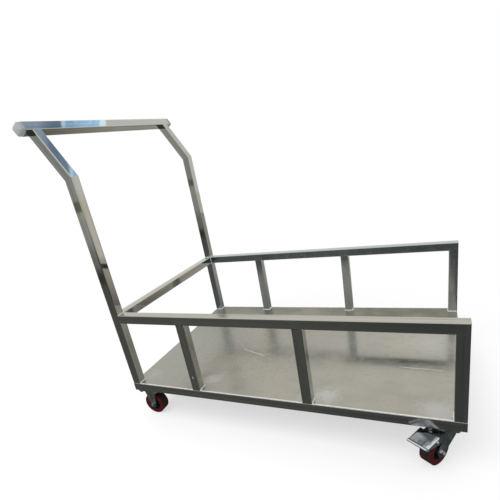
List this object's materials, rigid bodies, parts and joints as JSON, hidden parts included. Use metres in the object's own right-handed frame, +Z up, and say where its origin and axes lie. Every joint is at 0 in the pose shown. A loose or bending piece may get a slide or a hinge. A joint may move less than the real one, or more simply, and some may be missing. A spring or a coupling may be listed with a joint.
{
  "type": "platform trolley",
  "caption": "Stainless steel trolley: square-tube frame, flat sheet deck, side rails, one leaning push handle, two rigid casters and two braked swivel casters.",
  "frame": {"origin": "on the floor, below the centre of the whole trolley's outline", "axes": "+Z up; +X along the trolley from the push handle towards the open end; +Y across it, to the left of a person who pushes it"},
  "size_m": [1.0772, 0.7434, 0.9644],
  "materials": {
    "frame_steel": "polished stainless tube",
    "deck_steel": "cloudy polished stainless sheet",
    "cap_plastic": "satin",
    "fork_zinc": "satin",
    "bright_zinc": "polished",
    "tread_red": "satin",
    "core_black": "satin"
  },
  "bodies": {
    "frame": {"axle_bolts_handle_end": "bright_zinc", "axle_nuts_handle_end": "bright_zinc", "axle_sleeves_handle_end": "bright_zinc", "base_cross_tube_1": "frame_steel", "base_cross_tube_2": "frame_steel", "base_end_rail_handle": "frame_steel", "base_end_rail_open": "frame_steel", "base_rail_front": "frame_steel", "base_rail_rear": "frame_steel", "caster_screws": "bright_zinc", "caster_washers": "bright_zinc", "corner_plate_handle_front": "frame_steel", "corner_plate_handle_rear": "frame_steel", "corner_plate_open_front": "frame_steel", "corner_plate_open_rear": "frame_steel", "deck_sheet": "deck_steel", "end_post_front": "frame_steel", "end_post_rear": "frame_steel", "handle_arm_front": "frame_steel", "handle_arm_rear": "frame_steel", "handle_bar": "frame_steel", "handle_cap_front": "cap_plastic", "handle_cap_rear": "cap_plastic", "kingpins": "fork_zinc", "mid_post_front_1": "frame_steel", "mid_post_front_2": "frame_steel", "mid_post_rear_1": "frame_steel", "mid_post_rear_2": "frame_steel", "rigid_fork_front": "fork_zinc", "rigid_fork_rear": "fork_zinc", "swivel_plate_front": "fork_zinc", "swivel_plate_rear": "fork_zinc", "swivel_retainers": "fork_zinc", "top_cross_rail": "frame_steel", "top_rail_front": "frame_steel", "top_rail_rear": "frame_steel", "upright_front": "frame_steel", "upright_rear": "frame_steel"},
    "wheel_handle_front": {"wheel_tread_handle_front": "tread_red", "wheel_core_handle_front": "core_black"},
    "swivel_front": {"swivel_fork_front": "fork_zinc", "axle_bolt_open_front": "bright_zinc", "axle_nut_open_front": "bright_zinc", "axle_sleeve_open_front": "bright_zinc", "brake_pin_front": "bright_zinc"},
    "wheel_open_front": {"wheel_tread_open_front": "tread_red", "wheel_core_open_front": "core_black"},
    "brake_front": {"brake_pedal_front": "bright_zinc", "brake_shoe_front": "bright_zinc"},
    "wheel_handle_rear": {"wheel_tread_handle_rear": "tread_red", "wheel_core_handle_rear": "core_black"},
    "swivel_rear": {"swivel_fork_rear": "fork_zinc", "axle_bolt_open_rear": "bright_zinc", "axle_nut_open_rear": "bright_zinc", "axle_sleeve_open_rear": "bright_zinc", "brake_pin_rear": "bright_zinc"},
    "wheel_open_rear": {"wheel_tread_open_rear": "tread_red", "wheel_core_open_rear": "core_black"},
    "brake_rear": {"brake_pedal_rear": "bright_zinc", "brake_shoe_rear": "bright_zinc"}
  },
  "joints": [
    {"name": "wheel_handle_front_spin", "type": "hinge", "parent": "frame", "child": "wheel_handle_front", "pos_m": [-0.41145, -0.272, 0.0375], "axis": [0, 1, 0], "continuous": true},
    {"name": "wheel_handle_rear_spin", "type": "hinge", "parent": "frame", "child": "wheel_handle_rear", "pos_m": [-0.41145, 0.272, 0.0375], "axis": [0, 1, 0], "continuous": true},
    {"name": "swivel_front_turn", "type": "hinge", "parent": "frame", "child": "swivel_front", "pos_m": [0.48955, -0.27, 0.108], "axis": [0, 0, 1], "continuous": true},
    {"name": "wheel_open_front_spin", "type": "hinge", "parent": "swivel_front", "child": "wheel_open_front", "pos_m": [0.46942, -0.29984, 0.0375], "axis": [0.829, -0.5592, 0], "continuous": true},
    {"name": "brake_front_press", "type": "hinge", "parent": "swivel_front", "child": "brake_front", "pos_m": [0.456, -0.31974, 0.086], "axis": [0.829, -0.5592, 0], "range_deg": [0, 9]},
    {"name": "swivel_rear_turn", "type": "hinge", "parent": "frame", "child": "swivel_rear", "pos_m": [0.48955, 0.27, 0.108], "axis": [0, 0, 1], "continuous": true},
    {"name": "wheel_open_rear_spin", "type": "hinge", "parent": "swivel_rear", "child": "wheel_open_rear", "pos_m": [0.46942, 0.29984, 0.0375], "axis": [-0.829, -0.5592, 0], "continuous": true},
    {"name": "brake_rear_press", "type": "hinge", "parent": "swivel_rear", "child": "brake_rear", "pos_m": [0.456, 0.31974, 0.086], "axis": [-0.829, -0.5592, 0], "range_deg": [0, 9]}
  ]
}
